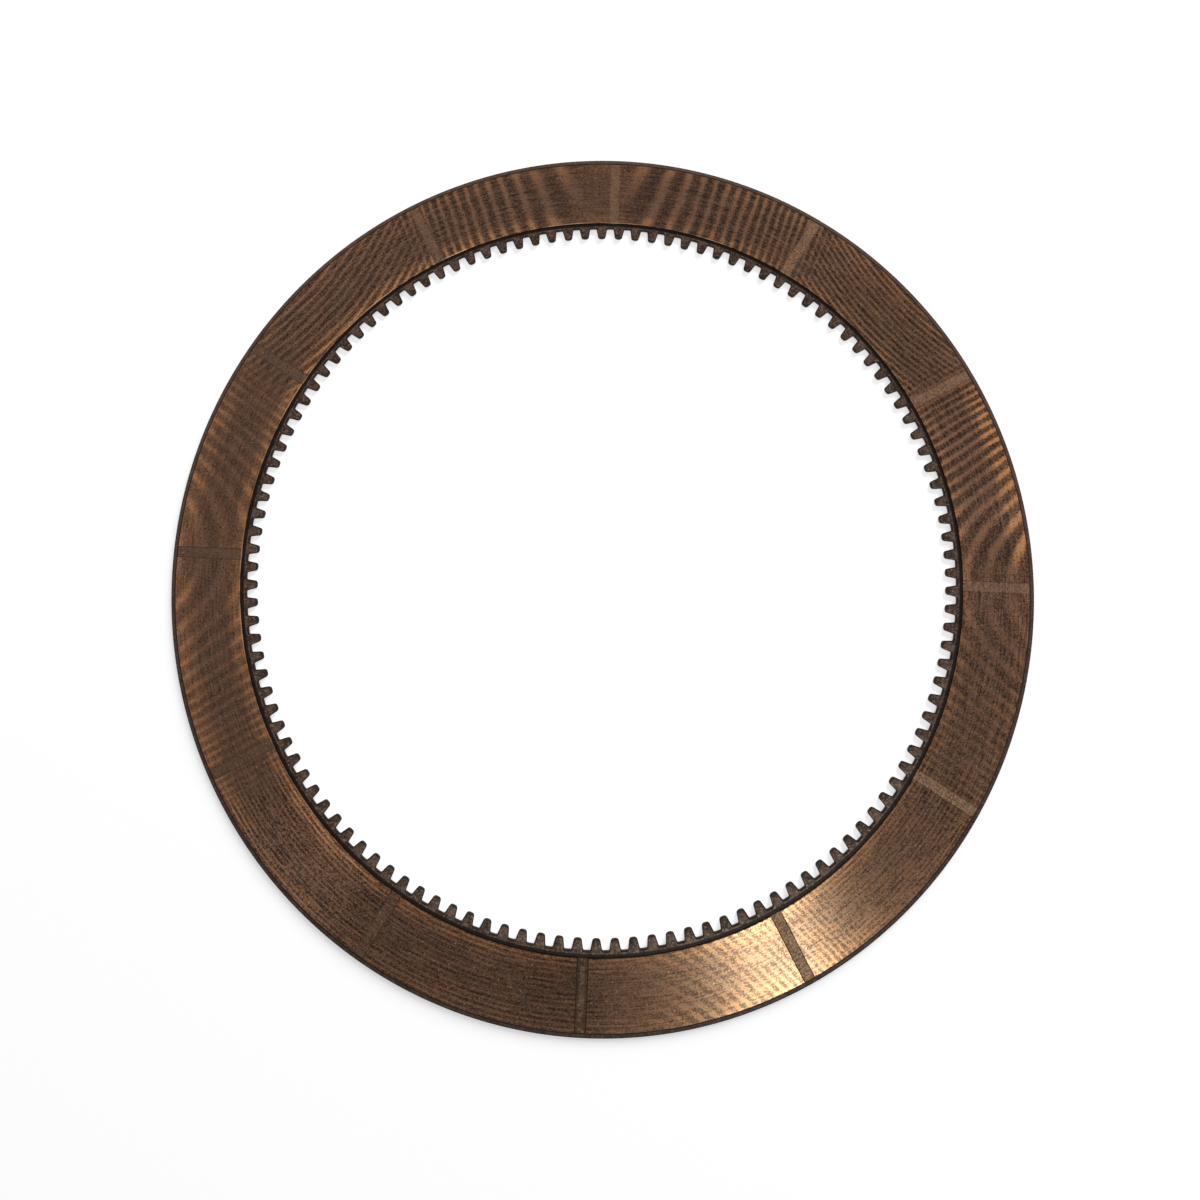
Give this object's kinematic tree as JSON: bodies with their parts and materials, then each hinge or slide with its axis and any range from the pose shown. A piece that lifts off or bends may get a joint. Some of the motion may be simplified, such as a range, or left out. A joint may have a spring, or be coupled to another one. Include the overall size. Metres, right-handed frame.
{
  "type": "clutch friction plate",
  "caption": "Ring-shaped wet clutch friction plate: a steel core with internal spline teeth and a sintered bronze facing with radial oil grooves on each side.",
  "frame": {"origin": "centre of the plate, on its axis and half way through its thickness", "axes": "+Z along the plate's axis, out of the front facing; +X along the middle of one radial oil groove"},
  "size_m": [0.3815, 0.3816, 0.0034],
  "materials": {
    "core_steel": "oil-darkened plain steel",
    "sintered_bronze": "turned sintered bronze, brown"
  },
  "bodies": {
    "root": {"core_plate": "core_steel", "front_facing": "sintered_bronze", "rear_facing": "sintered_bronze"}
  },
  "joints": []
}
